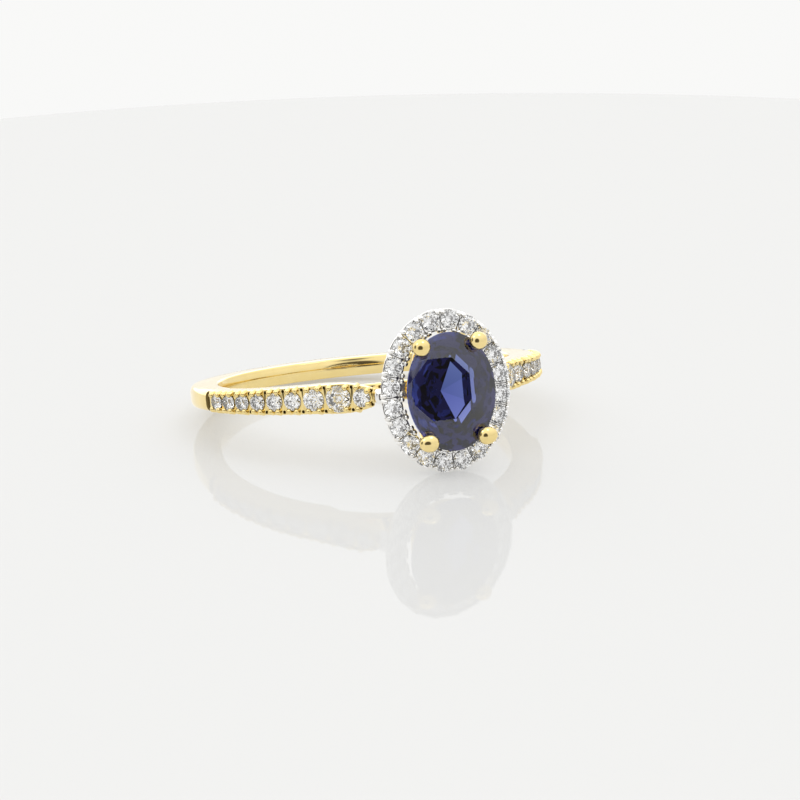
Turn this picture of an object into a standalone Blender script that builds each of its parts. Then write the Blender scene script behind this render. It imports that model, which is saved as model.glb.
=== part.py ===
"""Halo engagement ring: an oval sapphire in a yellow gold claw basket, inside a
white gold halo of round diamonds, on a yellow gold shank with castle-set shoulders.

The finger hole's axis is Z, the head faces -Y, and the ring is symmetric across
the planes X = 0 and Z = 0. The origin is the middle of the ring's bounding box.
A "height" below is a distance from the finger hole's axis towards the head.
"""

import math

import bmesh
import bpy
from mathutils import Matrix, Vector

MM = 0.001

# Shank, all measured from the finger hole's axis
HOLE_RADIUS = 8.4 * MM
BAND_RADIUS = 10.13 * MM
BRIDGE_RADIUS = 9.0 * MM
BAND_WIDTH = 1.13 * MM
SHOULDER_WIDTH = 1.65 * MM
TIP_WIDTH = 1.05 * MM
SHOULDER_RISE = 1.05 * MM
WIDEST_ANGLE = math.radians(29.0)
WIDENING_ANGLE = math.radians(84.0)
RISE_ANGLE = math.radians(38.0)
TIP_ANGLE = math.radians(19.5)
RISE_POWER = 1.5
FORK_ANGLE = math.radians(31.0)
FORK_RADIUS = 8.95 * MM
TIP_THICKNESS = 1.0 * MM

# Sapphire
SAPPHIRE_HALF_WIDTH = 2.59 * MM
SAPPHIRE_HALF_LENGTH = 3.25 * MM
SAPPHIRE_HEIGHT = 12.84 * MM
SAPPHIRE_TABLE = 0.60

# Halo: the oval of stone centres, its stones, and the frame that carries them
HALO_HALF_WIDTH = 3.27 * MM
HALO_HALF_LENGTH = 3.95 * MM
HALO_STONES = 20
HALO_STONE = 1.05 * MM
HALO_HEIGHT = 12.2 * MM
HALO_RIM = 0.58 * MM
HALO_TOP = 12.15 * MM
HALO_BACK = 11.5 * MM
HALO_BACK_INSET = 0.33 * MM

# Gallery rail under the halo, and the shoes that join it to the shoulder tips
GALLERY_BACK = 11.05 * MM
GALLERY_INSET = 0.3 * MM
GALLERY_HALF_WALL = 0.2 * MM
SHOE_ANGLE = math.radians(17.15)
SHOE_SIZE = Vector((0.70, 1.50, 0.80)) * MM
SHOE_HEIGHT = 10.96 * MM

# Basket that holds the sapphire
CLAW_WIRE = 0.27 * MM
CLAW_BEAD = 0.5 * MM
CLAW_BEAD_FLATNESS = 0.74
CLAW_PATH = [
    Vector((0.72, 0.42, 9.33)) * MM,
    Vector((1.16, 1.42, 10.8)) * MM,
    Vector((1.55, 2.30, 12.2)) * MM,
    Vector((1.67, 2.58, 13.10)) * MM,
]
BEAD_CENTRE = Vector((1.66, 2.60, 13.24)) * MM
RAILS = {  # height: (half width, half length, wire radius)
    9.33 * MM: (0.84 * MM, 0.52 * MM, 0.25 * MM),
    11.05 * MM: (1.70 * MM, 2.20 * MM, 0.17 * MM),
    11.5 * MM: (1.90 * MM, 2.45 * MM, 0.13 * MM),
}

# Shoulder stones, from the head outwards
SHOULDER_STONES = [1.0 * MM, 1.5 * MM, 1.2 * MM] + [1.0 * MM] * 6
SHOULDER_GAP = 0.15 * MM
FIRST_STONE_ANGLE = math.radians(22.6)

# Small claws that hold the diamonds
GRAIN_RADIUS = 0.16 * MM
GRAIN_DEPTH = 0.25 * MM
GRAIN_PROUD = 0.16 * MM
GRAIN_TAPER = 0.6
HALO_GRAIN_OFFSET = 0.40 * MM
EDGE_MARGIN = 0.15 * MM

# Round brilliant proportions, as fractions of the girdle radius
TABLE = 0.57
CROWN_SLOPE = math.tan(math.radians(34.5))
PAVILION_SLOPE = math.tan(math.radians(40.8))
HALF_GIRDLE = 0.03
STAR_REACH = 0.5
LOWER_GIRDLE_REACH = 0.77
FOLDS = 8

SEAT_SIDES = 12
SEAT_TIP = 0.12  # of the girdle radius
GRAIN_SIDES = 6
RAIL_POINTS = 32
BAND_POINTS = 64
HOLE_POINTS = 90
CLEARANCE = 0.03 * MM
ARC_STEP = math.radians(5.0)

SAPPHIRE_CROWN = SAPPHIRE_HALF_WIDTH * (HALF_GIRDLE + (1 - SAPPHIRE_TABLE) * CROWN_SLOPE)
HEAD_HEIGHT = SAPPHIRE_HEIGHT + SAPPHIRE_CROWN
AXIS_Y = (HEAD_HEIGHT - BAND_RADIUS) / 2


def make_collection(name):
    """Add a collection to the scene."""
    collection = bpy.data.collections.new(name)
    bpy.context.scene.collection.children.link(collection)
    return collection


def make_material(name, colour, metallic, roughness, ior=1.45):
    """Make a plain Principled finish."""
    material = bpy.data.materials.new(name)
    material.use_nodes = True
    shader = material.node_tree.nodes["Principled BSDF"]
    shader.inputs["Base Color"].default_value = (*colour, 1.0)
    shader.inputs["Metallic"].default_value = metallic
    shader.inputs["Roughness"].default_value = roughness
    shader.inputs["IOR"].default_value = ior
    material.diffuse_color = (*colour, 1.0)
    return material


def add_object(name, mesh, collection, material=None):
    """Put a mesh in a collection as a named object."""
    thing = bpy.data.objects.new(name, mesh)
    collection.objects.link(thing)
    if material and not mesh.materials:
        mesh.materials.append(material)
    return thing


def mesh_from(name, body):
    """Turn a bmesh into a mesh with its faces pointing out."""
    bmesh.ops.recalc_face_normals(body, faces=body.faces)
    mesh = bpy.data.meshes.new(name)
    body.to_mesh(mesh)
    body.free()
    return mesh


def hide_guide(guide):
    """Mark an object as a cutter or a filler that isn't part of the ring."""
    guide.hide_render = True
    guide.display_type = "WIRE"
    return guide


def add_boolean(thing, guide, operation):
    """Cut, join or trim an object with a guide object."""
    modifier = thing.modifiers.new(guide.name, "BOOLEAN")
    modifier.operation = operation
    modifier.solver = "EXACT"
    modifier.object = hide_guide(guide)


def at_height(x, height, z=0.0):
    """The world point at a height above the finger hole's axis."""
    return Vector((x, AXIS_Y - height, z))


def on_circle(angle, radius, z=0.0):
    """The world point at an angle from the head, positive towards +X."""
    return at_height(radius * math.sin(angle), radius * math.cos(angle), z)


def frame_at(point, outward, across):
    """A matrix whose Z points outward and whose Y runs across the band."""
    outward = outward.normalized()
    side = across.cross(outward).normalized()
    return Matrix.Translation(point) @ Matrix((side, outward.cross(side), outward)).transposed().to_4x4()


def turns(count):
    """Evenly spaced angles around a full circle."""
    return [2 * math.pi * step / count for step in range(count)]


def loft(name, rings, closed):
    """Skin a row of equal closed outlines, joined end to end or capped at both ends."""
    body = bmesh.new()
    loops = [[body.verts.new(point) for point in ring] for ring in rings]
    pairs = list(zip(loops, loops[1:]))
    if closed:
        pairs.append((loops[-1], loops[0]))
    else:
        body.faces.new(loops[0])
        body.faces.new(loops[-1])
    for near, far in pairs:
        for index in range(len(near)):
            after = (index + 1) % len(near)
            body.faces.new((near[index], near[after], far[after], far[index]))
    bmesh.ops.triangulate(body, faces=body.faces)
    return mesh_from(name, body)


# Gemstones

def brilliant(name, size, table, girdle_steps, clearance=0.0):
    """A brilliant-cut stone with its girdle in the plane Z = 0, as the hull of its corners.

    size holds the half width, half length and vertical scale. girdle_steps is the number of
    girdle corners for each upper girdle facet, which stays flat: the girdle's edge dips below it.
    """
    half = math.pi / FOLDS
    table_height = HALF_GIRDLE + (1 - table) * CROWN_SLOPE
    table_middle = table * math.cos(half)
    star = table_middle + STAR_REACH * (1 - table_middle)
    star_height = HALF_GIRDLE + (1 - star * math.cos(half)) * CROWN_SLOPE
    tip = 1 - LOWER_GIRDLE_REACH
    tip_depth = HALF_GIRDLE + (1 - tip * math.cos(half)) * PAVILION_SLOPE
    corners = [(0.0, 0.0, -HALF_GIRDLE - PAVILION_SLOPE)]
    for fold in range(FOLDS):
        main = 2 * half * fold
        corners.append((table, main, table_height))
        corners.append((star, main + half, star_height))
        corners.append((tip, main + half, -tip_depth))
    upper_fall = (star_height - HALF_GIRDLE) / (math.cos(half / 2) * (1 - star))
    lower_fall = (tip_depth - HALF_GIRDLE) / (math.cos(half / 2) * (1 - tip))
    for step in range(2 * FOLDS * girdle_steps):
        angle = half * step / girdle_steps
        dip = math.cos(angle % half - half / 2) - math.cos(half / 2)
        corners.append((1.0, angle, HALF_GIRDLE - upper_fall * dip))
        corners.append((1.0, angle, lower_fall * dip - HALF_GIRDLE))
    body = bmesh.new()
    for radius, angle, height in corners:
        flat = (radius * math.cos(angle) * size[0], radius * math.sin(angle) * size[1])
        spot = Vector((*flat, height * size[2]))
        body.verts.new(spot + spot.normalized() * clearance)
    bmesh.ops.convex_hull(body, input=body.verts)
    bmesh.ops.dissolve_limit(body, angle_limit=math.radians(0.5), verts=body.verts, edges=body.edges)
    return mesh_from(name, body)


def round_stone(name, diameter):
    """A round brilliant of one diameter."""
    return brilliant(name, (diameter / 2,) * 3, TABLE, girdle_steps=1)


def stone_seat(name, diameter):
    """The hollow that a round stone sits in, open above its table."""
    radius = diameter / 2
    crown = radius * (HALF_GIRDLE + (1 - TABLE) * CROWN_SLOPE)
    levels = [
        (TABLE * radius + CLEARANCE, crown + radius),
        (TABLE * radius + CLEARANCE, crown + CLEARANCE),
        (radius + CLEARANCE, HALF_GIRDLE * radius + CLEARANCE),
        (radius + CLEARANCE, -HALF_GIRDLE * radius),
        (SEAT_TIP * radius, -PAVILION_SLOPE * radius - CLEARANCE),
    ]
    rings = []
    for radius_here, height in levels:
        rings.append([Vector((radius_here * math.cos(turn), radius_here * math.sin(turn), height))
                      for turn in turns(SEAT_SIDES)])
    return loft(name, rings, closed=False)


def seat_cutter(name, places, cutters):
    """One cutter with a seat at each place: a diameter and a matrix."""
    body = bmesh.new()
    for diameter, place in places:
        seat = stone_seat(name, diameter)
        seat.transform(place)
        body.from_mesh(seat)
        bpy.data.meshes.remove(seat)
    return add_object(name, mesh_from(name, body), cutters)


def grain_filler(name, places, cutters):
    """The small claws beside the stones, as one guide to be joined to the metal."""
    body = bmesh.new()
    for place in places:
        middle = Matrix.Translation((0, 0, (GRAIN_PROUD - GRAIN_DEPTH) / 2))
        bmesh.ops.create_cone(body, cap_ends=True, segments=GRAIN_SIDES,
                              radius1=GRAIN_RADIUS, radius2=GRAIN_RADIUS * GRAIN_TAPER,
                              depth=GRAIN_PROUD + GRAIN_DEPTH, matrix=place @ middle)
    return add_object(name, mesh_from(name, body), cutters)


# Shank

def shoulder_radius(angle):
    """Outer radius of the shank at an angle from the head: it sweeps up towards the halo."""
    rise = max(0.0, (RISE_ANGLE - angle) / (RISE_ANGLE - TIP_ANGLE))
    return BAND_RADIUS + SHOULDER_RISE * rise ** RISE_POWER


def shank_width(angle):
    """Width of the shank at an angle from the head: widest at the largest shoulder stone."""
    if angle >= WIDENING_ANGLE:
        return BAND_WIDTH
    if angle >= WIDEST_ANGLE:
        share = (WIDENING_ANGLE - angle) / (WIDENING_ANGLE - WIDEST_ANGLE)
        return BAND_WIDTH + (SHOULDER_WIDTH - BAND_WIDTH) * share
    share = min(1.0, (WIDEST_ANGLE - angle) / (WIDEST_ANGLE - TIP_ANGLE))
    return SHOULDER_WIDTH + (TIP_WIDTH - SHOULDER_WIDTH) * share ** 2


def arc(start, end, radius_at, step=ARC_STEP):
    """Points along the side outline between two angles, both ends included."""
    count = max(1, math.ceil(abs(end - start) / step))
    angles = [start + (end - start) * index / count for index in range(count + 1)]
    return [on_circle(angle, radius_at(abs(angle))) for angle in angles]


def side_outline():
    """The shank's outline seen along the finger hole: band, swept shoulders, fork and bridge."""
    tip_radius = shoulder_radius(TIP_ANGLE) - TIP_THICKNESS
    points = arc(TIP_ANGLE, RISE_ANGLE, shoulder_radius, ARC_STEP / 2)
    points += arc(RISE_ANGLE, math.pi, lambda angle: BAND_RADIUS)[1:]
    points += arc(math.pi, 2 * math.pi - RISE_ANGLE, lambda angle: BAND_RADIUS)[1:-1]
    points += arc(-RISE_ANGLE, -TIP_ANGLE, shoulder_radius, ARC_STEP / 2)
    points.append(on_circle(-TIP_ANGLE, tip_radius))
    points.append(on_circle(-FORK_ANGLE, FORK_RADIUS))
    points += arc(-FORK_ANGLE + ARC_STEP / 5, FORK_ANGLE - ARC_STEP / 5, lambda angle: BRIDGE_RADIUS)
    points.append(on_circle(FORK_ANGLE, FORK_RADIUS))
    points.append(on_circle(TIP_ANGLE, tip_radius))
    return points


def flat_plate(name, outlines, half_thickness, cutters):
    """A flat plate across Z from closed outlines; the second and later ones are holes."""
    curve = bpy.data.curves.new(name, "CURVE")
    curve.dimensions = "2D"
    curve.fill_mode = "BOTH"
    curve.extrude = half_thickness
    for outline in outlines:
        spline = curve.splines.new("POLY")
        spline.points.add(len(outline) - 1)
        spline.use_cyclic_u = True
        for place, point in zip(spline.points, outline):
            place.co = (point.x, point.y, 0.0, 1.0)
    return mesh_of_curve(add_object(name, curve, cutters), cutters)


def mesh_of_curve(drawn, collection):
    """Replace a curve object by a welded mesh object of the same shape."""
    bpy.context.view_layer.update()
    evaluated = drawn.evaluated_get(bpy.context.evaluated_depsgraph_get())
    body = bmesh.new()
    body.from_mesh(bpy.data.meshes.new_from_object(evaluated))
    bmesh.ops.remove_doubles(body, verts=body.verts, dist=CLEARANCE / 100)
    name = drawn.name
    bpy.data.objects.remove(drawn)
    return add_object(name, mesh_from(name, body), collection)


def width_envelope(cutters):
    """A ring-shaped guide whose width is the shank's width at every angle."""
    rings = []
    for angle in turns(HOLE_POINTS):
        half = shank_width(min(angle, 2 * math.pi - angle)) / 2
        inner = HOLE_RADIUS - MM
        outer = HEAD_HEIGHT
        corners = ((inner, -half), (outer, -half), (outer, half), (inner, half))
        rings.append([on_circle(angle, radius, z) for radius, z in corners])
    return add_object("shank_width_envelope", loft("shank_width_envelope", rings, closed=True), cutters)


def shoulder_point(angle):
    """A point on the shoulder's outer line, at the middle of its width."""
    return on_circle(angle, shoulder_radius(abs(angle)))


def walk_shoulder(angle, distance):
    """The angle reached by walking a straight distance back along the shoulder from an angle."""
    start = shoulder_point(angle)
    step = math.radians(0.01)
    while (shoulder_point(angle) - start).length < distance:
        angle += step
    return angle


def shoulder_angles():
    """Angle of each shoulder stone and of each gap between or beside them."""
    stones = [FIRST_STONE_ANGLE]
    gaps = []
    for near, far in zip(SHOULDER_STONES, SHOULDER_STONES[1:]):
        gaps.append(walk_shoulder(stones[-1], (near + SHOULDER_GAP) / 2))
        stones.append(walk_shoulder(stones[-1], (near + far) / 2 + SHOULDER_GAP))
    gaps.append(walk_shoulder(stones[-1], (SHOULDER_STONES[-1] + SHOULDER_GAP) / 2))
    return stones, gaps


def shoulder_frame(angle, side, across=0.0):
    """A matrix on the shoulder's outer surface, Z along its outward normal."""
    nudge = math.radians(0.5)
    along = shoulder_point(side * (angle + nudge)) - shoulder_point(side * (angle - nudge))
    outward = along.cross(Vector((0, 0, side)))
    point = shoulder_point(side * angle) + Vector((0, 0, across))
    return frame_at(point, outward, Vector((0, 0, 1)))


def shoulder_places(side):
    """Diameter and matrix of each stone on one shoulder, from the head outwards."""
    stones, _ = shoulder_angles()
    return [(size, shoulder_frame(angle, side)) for size, angle in zip(SHOULDER_STONES, stones)]


def shoulder_grains(side):
    """Matrices of the paired small claws at the gaps of one shoulder."""
    _, gaps = shoulder_angles()
    places = []
    for angle in gaps:
        reach = shank_width(angle) / 2 - EDGE_MARGIN
        places.append(shoulder_frame(angle, side, reach))
        places.append(shoulder_frame(angle, side, -reach))
    return places


def build_shank(parts, cutters, gold):
    """The gold shank with its bridge, swept shoulders, seats and small claws."""
    hole = [on_circle(turn, HOLE_RADIUS) for turn in turns(HOLE_POINTS)]
    plate = flat_plate("shank_plate", [side_outline(), hole], SHOULDER_WIDTH, cutters)
    shank = add_object("shank", plate.data.copy(), parts, gold)
    bpy.data.objects.remove(plate)
    add_boolean(shank, width_envelope(cutters), "INTERSECT")
    grains = shoulder_grains(1) + shoulder_grains(-1)
    add_boolean(shank, grain_filler("shoulder_grains", grains, cutters), "UNION")
    seats = shoulder_places(1) + shoulder_places(-1)
    add_boolean(shank, seat_cutter("shoulder_seats", seats, cutters), "DIFFERENCE")


# Halo

def oval(half_width, half_length, height, count):
    """Points around an upright oval at one height, starting at +X."""
    return [at_height(half_width * math.cos(turn), height, half_length * math.sin(turn))
            for turn in turns(count)]


def even_oval(half_width, half_length, count, offset):
    """Angles that cut an oval into equal lengths, the first a share of one length from +X."""
    fine = 3600
    points = oval(half_width, half_length, 0.0, fine)
    lengths = [0.0]
    for index in range(fine):
        lengths.append(lengths[-1] + (points[(index + 1) % fine] - points[index]).length)
    angles = []
    index = 0
    for share in range(count):
        target = (share + offset) * lengths[-1] / count
        while lengths[index] < target:
            index += 1
        angles.append(2 * math.pi * index / fine)
    return angles


def halo_frame_at(angle, offset=0.0):
    """A matrix on the oval of stone centres, moved outward by an offset, Z towards the viewer."""
    point = at_height(HALO_HALF_WIDTH * math.cos(angle), HALO_HEIGHT, HALO_HALF_LENGTH * math.sin(angle))
    outward = Vector((math.cos(angle) / HALO_HALF_WIDTH, 0, math.sin(angle) / HALO_HALF_LENGTH)).normalized()
    return frame_at(point + outward * offset, Vector((0, -1, 0)), outward)


def halo_places():
    """Diameter and matrix of each halo stone, anticlockwise from +X."""
    angles = even_oval(HALO_HALF_WIDTH, HALO_HALF_LENGTH, HALO_STONES, 0.5)
    return [(HALO_STONE, halo_frame_at(angle)) for angle in angles]


def oval_band(name, levels):
    """A closed oval band whose section has one corner per level: (offset from stone centres, height)."""
    sections = []
    for offset, height in levels:
        sections.append(oval(HALO_HALF_WIDTH + offset, HALO_HALF_LENGTH + offset, height, BAND_POINTS))
    return loft(name, sections, closed=True)


def build_halo_frame(parts, cutters, white):
    """The white gold oval that carries the halo stones."""
    levels = [
        (HALO_RIM, HALO_TOP),
        (HALO_RIM - HALO_BACK_INSET, HALO_BACK),
        (HALO_BACK_INSET - HALO_RIM, HALO_BACK),
        (-HALO_RIM, HALO_TOP),
    ]
    halo = add_object("halo_frame", oval_band("halo_frame", levels), parts, white)
    grains = []
    for angle in even_oval(HALO_HALF_WIDTH, HALO_HALF_LENGTH, HALO_STONES, 0.0):
        grains.append(halo_frame_at(angle, HALO_GRAIN_OFFSET))
        grains.append(halo_frame_at(angle, -HALO_GRAIN_OFFSET))
    add_boolean(halo, grain_filler("halo_grains", grains, cutters), "UNION")
    add_boolean(halo, seat_cutter("halo_seats", halo_places(), cutters), "DIFFERENCE")


def build_halo_gallery(parts, cutters, white):
    """The white gold rail under the halo, with a shoe at each side for a shoulder tip."""
    middle = HALO_RIM - HALO_BACK_INSET - GALLERY_INSET
    levels = [
        (middle + GALLERY_HALF_WALL, HALO_BACK - CLEARANCE),
        (middle + GALLERY_HALF_WALL, GALLERY_BACK),
        (middle - GALLERY_HALF_WALL, GALLERY_BACK),
        (middle - GALLERY_HALF_WALL, HALO_BACK - CLEARANCE),
    ]
    gallery = add_object("halo_gallery", oval_band("halo_gallery", levels), parts, white)
    for side, label in ((-1, "left"), (1, "right")):
        body = bmesh.new()
        bmesh.ops.create_cube(body, size=1.0)
        bmesh.ops.scale(body, vec=SHOE_SIZE, verts=body.verts)
        turn = Matrix.Rotation(side * SHOE_ANGLE, 4, "Z")
        place = Matrix.Translation(on_circle(side * SHOE_ANGLE, SHOE_HEIGHT))
        bmesh.ops.transform(body, matrix=place @ turn, verts=body.verts)
        shoe = add_object(f"{label}_shoe", mesh_from(f"{label}_shoe", body), cutters)
        add_boolean(gallery, shoe, "UNION")


# Sapphire and its basket

def sapphire_mesh(name, clearance=0.0):
    """The oval sapphire, with an even clearance around it where asked."""
    size = (SAPPHIRE_HALF_WIDTH, SAPPHIRE_HALF_LENGTH, SAPPHIRE_HALF_WIDTH)
    return brilliant(name, size, SAPPHIRE_TABLE, 3, clearance)


def sapphire_place():
    """The matrix that sets the sapphire upright, table towards -Y."""
    return frame_at(at_height(0.0, SAPPHIRE_HEIGHT), Vector((0, -1, 0)), Vector((0, 0, 1)))


def wire(name, points, radius, closed, collection):
    """A round wire along points, as a closed mesh."""
    curve = bpy.data.curves.new(name, "CURVE")
    curve.dimensions = "3D"
    curve.bevel_depth = radius
    curve.bevel_resolution = 1
    curve.use_fill_caps = not closed
    spline = curve.splines.new("POLY")
    spline.points.add(len(points) - 1)
    spline.use_cyclic_u = closed
    for place, point in zip(spline.points, points):
        place.co = (*point, 1.0)
    return mesh_of_curve(add_object(name, curve, collection), collection)


def claw_bead(name, centre, collection):
    """The rounded tip of a claw, slightly flattened."""
    body = bmesh.new()
    bmesh.ops.create_uvsphere(body, u_segments=12, v_segments=8, radius=CLAW_BEAD)
    bmesh.ops.rotate(body, matrix=Matrix.Rotation(math.pi / 2, 3, "X"), verts=body.verts)
    bmesh.ops.scale(body, vec=(1, CLAW_BEAD_FLATNESS, 1), verts=body.verts)
    bmesh.ops.translate(body, vec=centre, verts=body.verts)
    return add_object(name, mesh_from(name, body), collection)


def build_basket(parts, cutters, gold):
    """The gold basket: three oval rails joined by four claws with rounded tips."""
    fillers = []
    for height, (half_width, half_length, radius) in RAILS.items():
        points = oval(half_width, half_length, height, RAIL_POINTS)
        fillers.append(wire(f"rail_{len(fillers) + 1}", points, radius, True, cutters))
    for index, (side, end) in enumerate(((-1, 1), (1, 1), (1, -1), (-1, -1))):
        path = [at_height(side * step.x, step.z, end * step.y) for step in CLAW_PATH]
        centre = at_height(side * BEAD_CENTRE.x, BEAD_CENTRE.z, end * BEAD_CENTRE.y)
        fillers.append(wire(f"claw_{index + 1}", path, CLAW_WIRE, False, cutters))
        fillers.append(claw_bead(f"claw_bead_{index + 1}", centre, cutters))
    base = fillers.pop(0)
    basket = add_object("centre_basket", base.data.copy(), parts, gold)
    bpy.data.objects.remove(base)
    for filler in fillers:
        add_boolean(basket, filler, "UNION")
    room = add_object("sapphire_room", sapphire_mesh("sapphire_room", CLEARANCE), cutters)
    room.matrix_world = sapphire_place()
    add_boolean(basket, room, "DIFFERENCE")


# Stones

def place_stones(prefix, places, parts, diamond, meshes):
    """One named diamond at each place; stones of one diameter share a mesh."""
    for index, (diameter, place) in enumerate(places, start=1):
        if diameter not in meshes:
            meshes[diameter] = round_stone(f"brilliant_{round(diameter / MM * 100)}", diameter)
        stone = add_object(f"{prefix}_{index:02d}", meshes[diameter], parts, diamond)
        stone.matrix_world = place


def build_ring():
    """Clear the scene and build every piece."""
    for thing in list(bpy.data.objects):
        bpy.data.objects.remove(thing)
    parts = make_collection("engagement_ring")
    cutters = make_collection("cutters")
    gold = make_material("yellow_gold", (0.83, 0.62, 0.30), 1.0, 0.12)
    white = make_material("white_gold", (0.80, 0.79, 0.77), 1.0, 0.12)
    diamond = make_material("diamond", (0.92, 0.94, 0.97), 0.0, 0.02, 2.42)
    blue = make_material("sapphire", (0.01, 0.02, 0.16), 0.0, 0.03, 1.77)
    build_shank(parts, cutters, gold)
    build_halo_frame(parts, cutters, white)
    build_halo_gallery(parts, cutters, white)
    build_basket(parts, cutters, gold)
    sapphire = add_object("centre_sapphire", sapphire_mesh("centre_sapphire"), parts, blue)
    sapphire.matrix_world = sapphire_place()
    meshes = {}
    place_stones("halo_diamond", halo_places(), parts, diamond, meshes)
    place_stones("left_shoulder_diamond", shoulder_places(-1), parts, diamond, meshes)
    place_stones("right_shoulder_diamond", shoulder_places(1), parts, diamond, meshes)


build_ring()
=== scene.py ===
import math

import bmesh
import bpy
from mathutils import Matrix, Vector


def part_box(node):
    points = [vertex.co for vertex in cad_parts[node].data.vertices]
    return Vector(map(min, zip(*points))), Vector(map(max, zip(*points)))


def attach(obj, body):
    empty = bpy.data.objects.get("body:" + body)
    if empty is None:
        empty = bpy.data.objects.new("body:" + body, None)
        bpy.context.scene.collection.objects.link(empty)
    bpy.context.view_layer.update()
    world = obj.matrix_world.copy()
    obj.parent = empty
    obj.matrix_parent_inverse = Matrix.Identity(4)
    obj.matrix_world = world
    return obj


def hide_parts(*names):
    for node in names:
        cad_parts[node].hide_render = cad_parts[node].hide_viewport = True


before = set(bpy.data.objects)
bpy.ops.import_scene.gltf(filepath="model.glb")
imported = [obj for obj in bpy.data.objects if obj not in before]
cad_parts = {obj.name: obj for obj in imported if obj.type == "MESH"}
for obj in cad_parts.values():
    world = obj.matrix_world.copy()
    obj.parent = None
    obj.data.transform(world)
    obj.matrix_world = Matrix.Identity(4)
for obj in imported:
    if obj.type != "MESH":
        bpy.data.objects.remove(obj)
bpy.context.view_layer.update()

MM = 0.001
BODY = "root"

# Shank: radii are from the finger hole's axis, angles from the head
HOLE_RADIUS = 8.4 * MM
BAND_RADIUS = 10.13 * MM
BAND_WIDTH = 1.13 * MM
SHOULDER_WIDTH = 1.65 * MM
TIP_WIDTH = 1.05 * MM
TIP_THICKNESS = 1.0 * MM
SHOULDER_RISE = 1.05 * MM
RISE_POWER = 1.5
TIP_ANGLE = math.radians(19.5)
WIDEST_ANGLE = math.radians(29.0)
FORK_ANGLE = math.radians(31.0)
FORK_RADIUS = 8.95 * MM
RISE_ANGLE = math.radians(38.0)
SET_END_ANGLE = math.radians(84.0)  # where the stones end and the plain band starts
PLAIN_EASE = math.radians(0.3)
BED_DROP = 0.07 * MM
BED_ROUND = 0.06 * MM  # outer edges beside the stones
BAND_ROUND = 0.22 * MM  # outer edges of the plain band, along the radius
BAND_CROWN = 0.40 * MM  # and across the width
INNER_ROUND = 0.12 * MM
INNER_DOME = 0.08 * MM
TIP_DOME = 0.12 * MM
TIP_SHRINK = 0.25
BRIDGE_RADIUS = 9.0 * MM
BRIDGE_REACH = math.radians(40)
BRIDGE_INSET = 0.03 * MM
BRIDGE_GAP = 0.01 * MM
GROOVE_ANGLE = math.radians(83.4)
GROOVE_DEPTH = 0.34 * MM
GROOVE_ABOVE = 0.2 * MM
GROOVE_HALF = math.radians(1.3)
GROOVE_TAPER = 0.6
SHANK_EDGE = 0.012 * MM
ARM_STEPS = 400
FINE_STEPS = (-0.4, -0.2, 0.0, 0.2, 0.4)  # extra sections where the plain band starts, in degrees

# Small claws of the shoulders, and the drilled notch between each pair, as (radius, height)
SHOULDER_CLAW = 0.165 * MM
SHOULDER_CLAW_PROUD = 0.24 * MM
SHOULDER_CLAW_EDGE = 0.165 * MM
SHOULDER_CLAW_BITE = 0.07 * MM
SHOULDER_CLAW_REACH = (0.11 * MM, 0.34 * MM)
SHOULDER_CLAW_LEAN = 0.25
CLAW_ROOT = 0.22 * MM
ROUND_SHARP = 50.0  # claws and wires stay smooth below this angle
CLAW_SIDES = 16
CLAW_CROWN_SHARE = 0.05  # width left at the very top
CLAW_FOOT_SHARE = 1.05
NOTCH_EDGE = 0.16 * MM
NOTCH_PROFILE = [(0.09 * MM, 0.3 * MM), (0.09 * MM, -0.14 * MM), (0.03 * MM, -0.26 * MM)]
END_GAP = 0.08 * MM

# Halo and gallery: offsets are outward from the oval of halo stone centres
HALO_HALF_WIDTH = 3.27 * MM
HALO_HALF_LENGTH = 3.95 * MM
HALO_STONES = 20
HALO_RIM = 0.58 * MM
HALO_LEDGE = 0.70 * MM  # how far the top reaches in towards the sapphire
HALO_TOP = 12.12 * MM
HALO_BACK = 11.5 * MM
HALO_BACK_INSET = 0.33 * MM
HALO_ROUND = 0.08 * MM
HALO_SCALLOP = 0.09 * MM
HALO_SCALLOP_SPAN = 0.23 * MM
HALO_EDGE = 0.01 * MM
OVAL_STEPS = 320
HALO_CLAWS = [(0.41 * MM, 0.13 * MM), (-0.56 * MM, 0.15 * MM)]  # offset, radius
HALO_CLAW_PROUD = 0.17 * MM
HALO_CLAW_SPREAD = 0.155 * MM
HALO_CLAW_LEAN = 0.3
CUT_HALF_WIDTH = 0.035 * MM
CUT_DEPTH = 0.26 * MM
CUT_RISE = 0.3 * MM
CUT_REACH = (-0.6 * MM, 0.36 * MM)
GALLERY_BACK = 11.05 * MM
GALLERY_MIDDLE = -0.05 * MM
GALLERY_HALF_WALL = 0.2 * MM
GALLERY_GAP = 0.02 * MM
SHOE_SIZE = Vector((0.70, 1.50, 0.80)) * MM  # along the band, along the radius, across the width
SHOE_HEIGHT = 10.96 * MM
SHOE_ANGLE = math.radians(17.15)
SHOE_ROUND = 0.26 * MM
SHOE_STEPS = 6

# Basket, in millimetres: across, along, height, wire radius
CLAW_PATH = [
    (0.72, 0.42, 9.33, 0.25),
    (1.16, 1.42, 10.8, 0.26),
    (1.50, 2.22, 12.1, 0.28),
    (1.66, 2.52, 12.6, 0.34),
    (1.70, 2.62, 13.05, 0.42),
]
BEAD_CENTRE = Vector((1.66, 2.60, 13.24)) * MM
BEAD_RADIUS = 0.50 * MM
BEAD_FLATNESS = 0.74
BEAD_STRETCH = {-1: 1.3, 1: 1.08}  # outward, for the lower and upper beads
BASKET_RAILS = [  # half width, half length, height, wire radius, in millimetres
    (0.84, 0.52, 9.33, 0.25),
    (1.70, 2.20, 11.05, 0.17),
    (1.90, 2.45, 11.5, 0.13),
]
RAIL_STEPS = 96

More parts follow.
